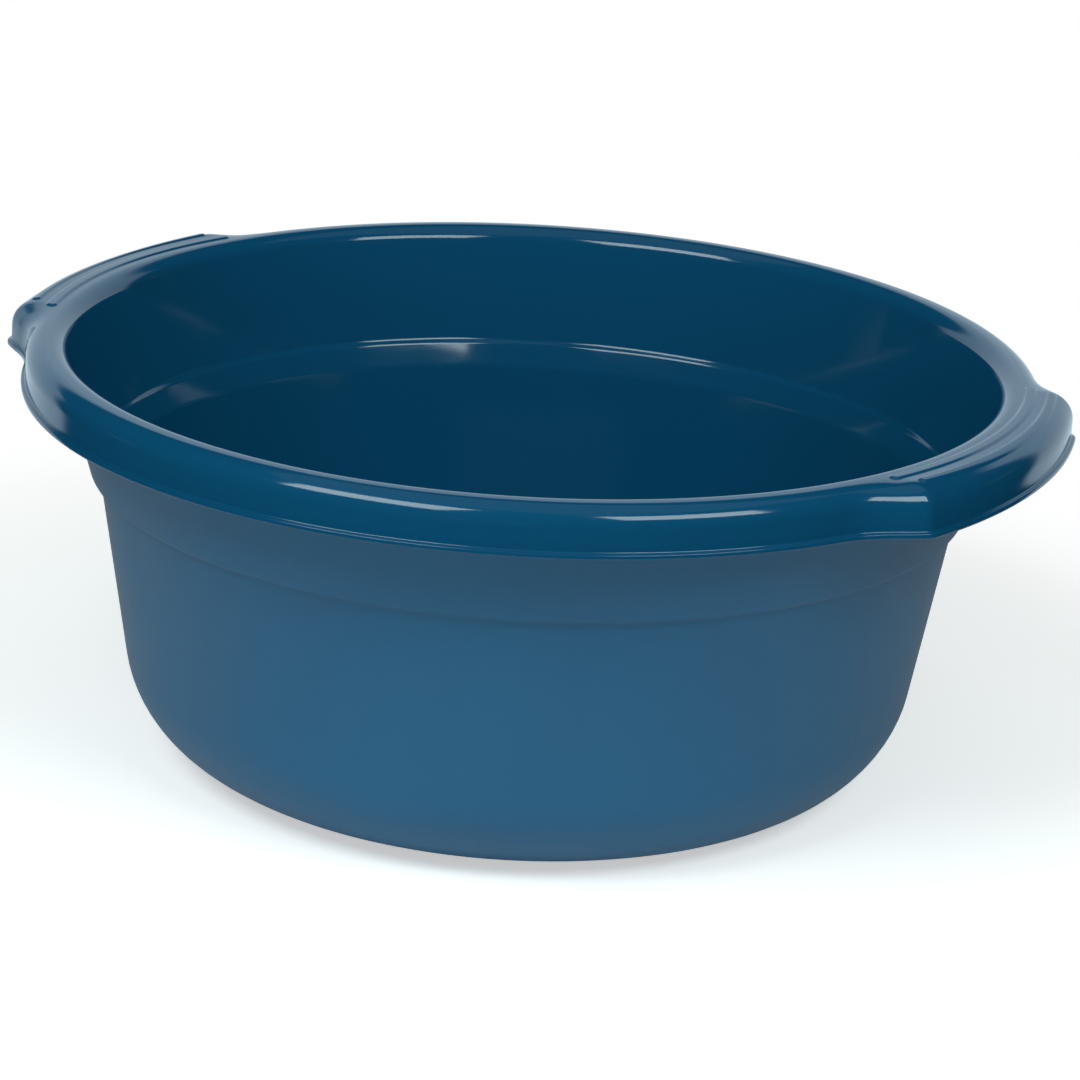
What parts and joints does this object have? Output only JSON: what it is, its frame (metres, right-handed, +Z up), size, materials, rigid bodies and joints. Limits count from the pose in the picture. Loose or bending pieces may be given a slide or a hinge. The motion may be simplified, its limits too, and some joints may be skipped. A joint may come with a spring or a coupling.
{
  "type": "washing up bowl",
  "caption": "Round moulded plastic washing up bowl with tapered wall, stepped upper band, rolled rim and a ribbed grip handle at each side.",
  "frame": {"origin": "centre of the resting face on the underside", "axes": "+Z up out of the bowl, +X through the middle of one handle, +Y across the handles"},
  "size_m": [0.3786, 0.3596, 0.1509],
  "materials": {
    "rim_polypropylene": "glossy injection moulded polypropylene, petrol blue",
    "wall_polypropylene": "injection moulded polypropylene, petrol blue, fine satin outside and glossy inside"
  },
  "bodies": {
    "root": {"base": "wall_polypropylene", "bottom_corner": "wall_polypropylene", "side_wall": "wall_polypropylene", "shoulder_band": "wall_polypropylene", "rim_front": "rim_polypropylene", "rim_back": "rim_polypropylene", "handle_right": "rim_polypropylene", "handle_left": "rim_polypropylene"}
  },
  "joints": []
}
